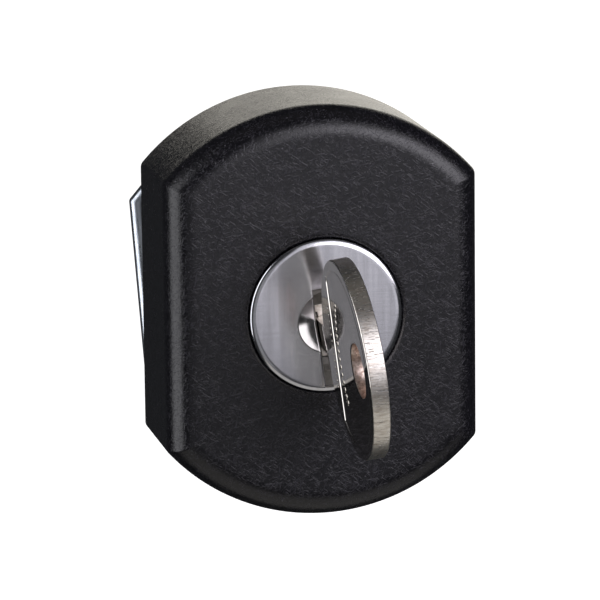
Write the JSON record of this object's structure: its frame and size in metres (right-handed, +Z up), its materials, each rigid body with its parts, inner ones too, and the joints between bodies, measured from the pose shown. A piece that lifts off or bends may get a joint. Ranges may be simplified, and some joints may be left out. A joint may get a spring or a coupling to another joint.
{
  "type": "cam lock",
  "caption": "Surface-mounted cam lock: double-D plastic housing, metal cap over a turning wafer plug, flat round-bow key and a broad steel cam behind.",
  "frame": {"origin": "on the lock's axis, in the plane of the housing's rear rim, at the middle of the line between the two threaded inserts", "axes": "+Y out of the back along the lock's axis, so the front and the key face -Y; +X to the right seen from the front; +Z up"},
  "size_m": [0.045, 0.0684, 0.059],
  "materials": {
    "housing_plastic": "black glass-filled polyamide, fine satin moulding grain with faint fibre marks",
    "insert_brass": "turned",
    "gasket_rubber": "matt",
    "barrel_zinc": "die-cast zinc, plated, satin",
    "plug_zinc": "die-cast zinc, nickel plated",
    "zinc_plate": "bright blue-white zinc plate",
    "spring_steel": "drawn wire",
    "cap_steel": "fine satin face with a bright rounded edge",
    "wafer_brass": "stamped",
    "key_nickel": "polished nickel faces with a rough blanked rim"
  },
  "bodies": {
    "housing": {"housing_shell": "housing_plastic", "threaded_inserts": "insert_brass", "panel_gasket": "gasket_rubber", "lock_barrel": "barrel_zinc", "barrel_screws": "zinc_plate", "barrel_seal": "gasket_rubber"},
    "plug": {"face_cap": "cap_steel", "lock_plug": "plug_zinc", "plug_seal": "gasket_rubber", "stop_washer": "zinc_plate", "cam": "zinc_plate", "cam_washer": "zinc_plate", "cam_lock_washer": "spring_steel", "cam_screw": "zinc_plate", "wafer_spring_1": "spring_steel", "wafer_spring_2": "spring_steel", "wafer_spring_3": "spring_steel", "wafer_spring_4": "spring_steel", "wafer_spring_5": "spring_steel", "wafer_spring_6": "spring_steel"},
    "key": {"key": "key_nickel"},
    "wafer_1_slide": {"wafer_1": "wafer_brass"},
    "wafer_2_slide": {"wafer_2": "wafer_brass"},
    "wafer_3_slide": {"wafer_3": "wafer_brass"},
    "wafer_4_slide": {"wafer_4": "wafer_brass"},
    "wafer_5_slide": {"wafer_5": "wafer_brass"},
    "wafer_6_slide": {"wafer_6": "wafer_brass"}
  },
  "joints": [
    {"name": "plug_turn", "type": "hinge", "parent": "housing", "child": "plug", "pos_m": [0, 0, 0], "axis": [0, -1, 0], "range_deg": [-7.3, 82.7]},
    {"name": "key_slide", "type": "slide", "parent": "plug", "child": "key", "axis": [0, -1, 0], "range_m": [0, 0.03]},
    {"name": "wafer_1_lift", "type": "slide", "parent": "plug", "child": "wafer_1_slide", "axis": [-0.1271, 0, 0.9919], "range_m": [0, 0.001], "deforming": ["wafer_spring_1"]},
    {"name": "wafer_2_lift", "type": "slide", "parent": "plug", "child": "wafer_2_slide", "axis": [-0.1271, 0, 0.9919], "range_m": [0, 0.001], "deforming": ["wafer_spring_2"]},
    {"name": "wafer_3_lift", "type": "slide", "parent": "plug", "child": "wafer_3_slide", "axis": [-0.1271, 0, 0.9919], "range_m": [0, 0.001], "deforming": ["wafer_spring_3"]},
    {"name": "wafer_4_lift", "type": "slide", "parent": "plug", "child": "wafer_4_slide", "axis": [-0.1271, 0, 0.9919], "range_m": [0, 0.001], "deforming": ["wafer_spring_4"]},
    {"name": "wafer_5_lift", "type": "slide", "parent": "plug", "child": "wafer_5_slide", "axis": [-0.1271, 0, 0.9919], "range_m": [0, 0.001], "deforming": ["wafer_spring_5"]},
    {"name": "wafer_6_lift", "type": "slide", "parent": "plug", "child": "wafer_6_slide", "axis": [-0.1271, 0, 0.9919], "range_m": [0, 0.001], "deforming": ["wafer_spring_6"]}
  ],
  "couplings": [
    {"joint": "wafer_1_lift", "follows": "key_slide", "ratio": 0.033333},
    {"joint": "wafer_2_lift", "follows": "key_slide", "ratio": 0.033333},
    {"joint": "wafer_3_lift", "follows": "key_slide", "ratio": 0.033333},
    {"joint": "wafer_4_lift", "follows": "key_slide", "ratio": 0.033333},
    {"joint": "wafer_5_lift", "follows": "key_slide", "ratio": 0.033333},
    {"joint": "wafer_6_lift", "follows": "key_slide", "ratio": 0.033333}
  ]
}
